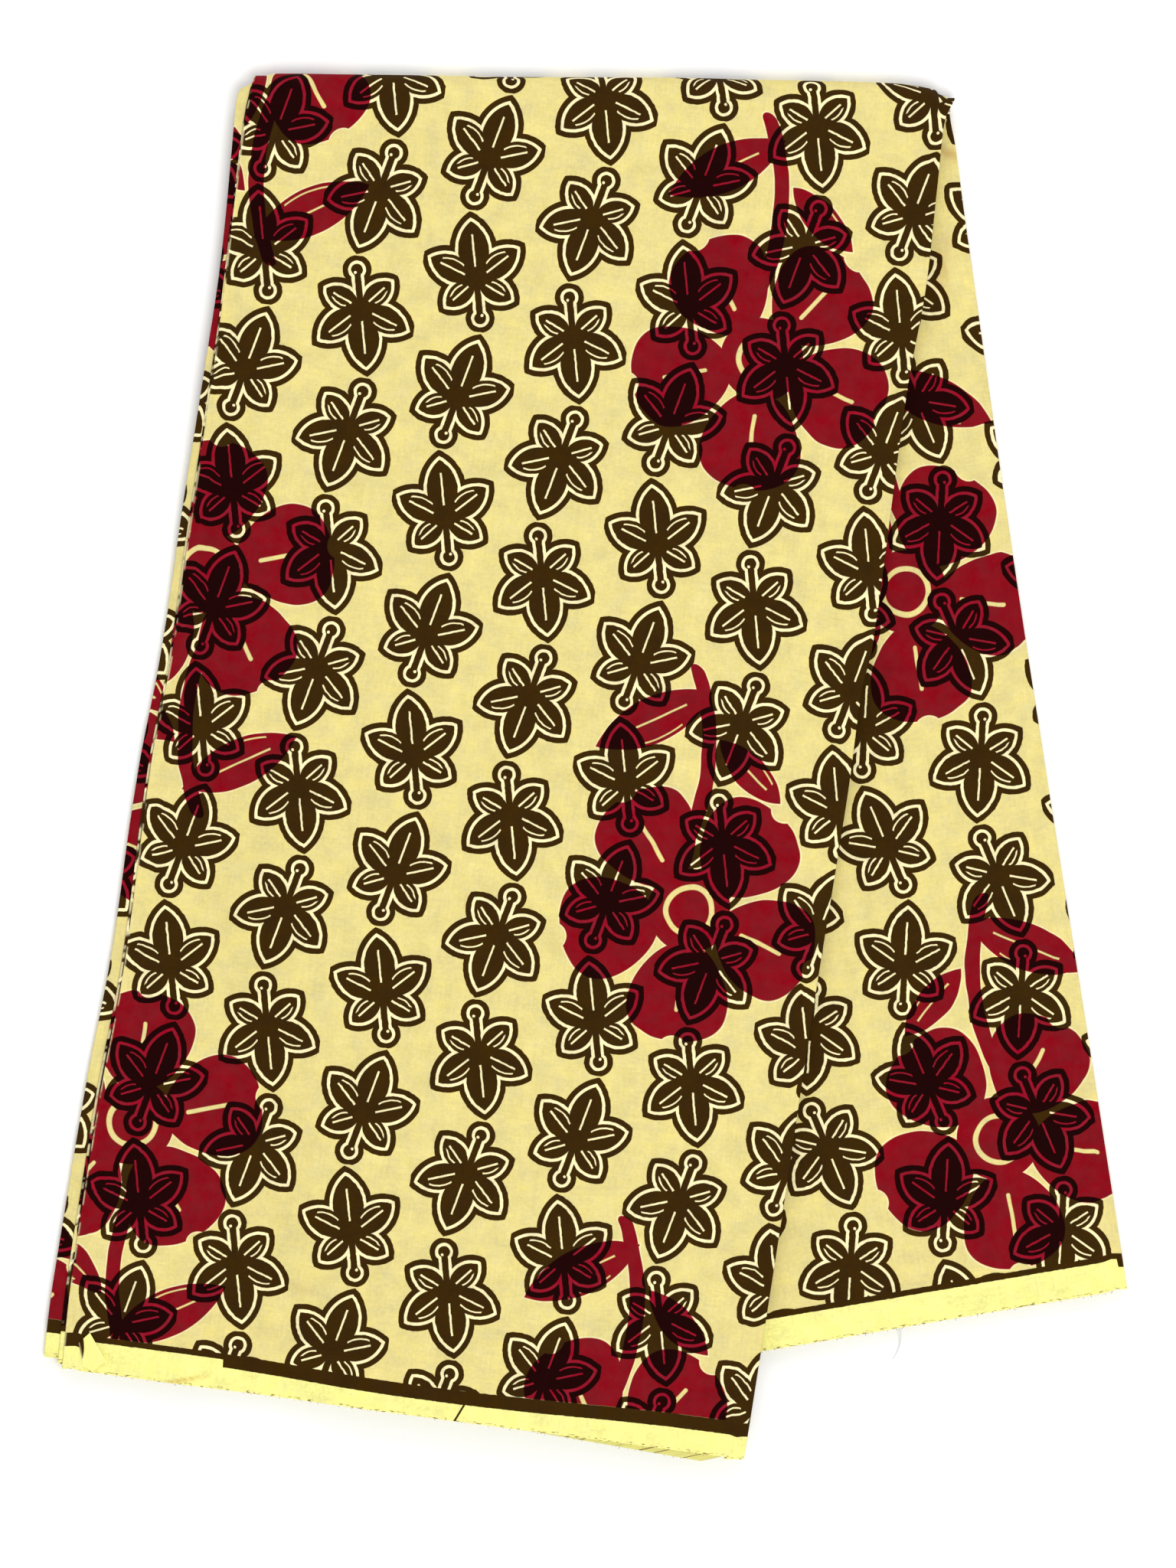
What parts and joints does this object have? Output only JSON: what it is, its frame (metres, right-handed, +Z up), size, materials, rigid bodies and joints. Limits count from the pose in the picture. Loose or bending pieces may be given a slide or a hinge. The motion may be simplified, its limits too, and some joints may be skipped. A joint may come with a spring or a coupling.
{
  "type": "folded wax-print cotton cloth",
  "caption": "Full piece of printed cotton cloth, pleated lengthwise into a strip and folded in half, its two arms fanned apart and lying flat",
  "frame": {"origin": "bottom centre of the whole piece's box, on the surface it lies on", "axes": "+Z up, away from the surface; +Y towards the top fold; +X to the right as seen from above with the fold at the top"},
  "size_m": [0.492, 0.6306, 0.016],
  "materials": {
    "printed_cotton": "plain-woven cotton, pale yellow ground with dark brown and crimson print, low sheen",
    "cotton_reverse": "plain-woven cotton, pale yellow",
    "layer_edges": "stacked folds of the same cotton"
  },
  "bodies": {
    "root": {"front_sheet": "printed_cotton", "rear_sheet": "printed_cotton", "left_pleat_inner": "printed_cotton", "left_pleat_outer": "printed_cotton", "turned_corner": "cotton_reverse", "front_layers": "layer_edges", "rear_layers": "layer_edges", "top_fold": "layer_edges"}
  },
  "joints": []
}
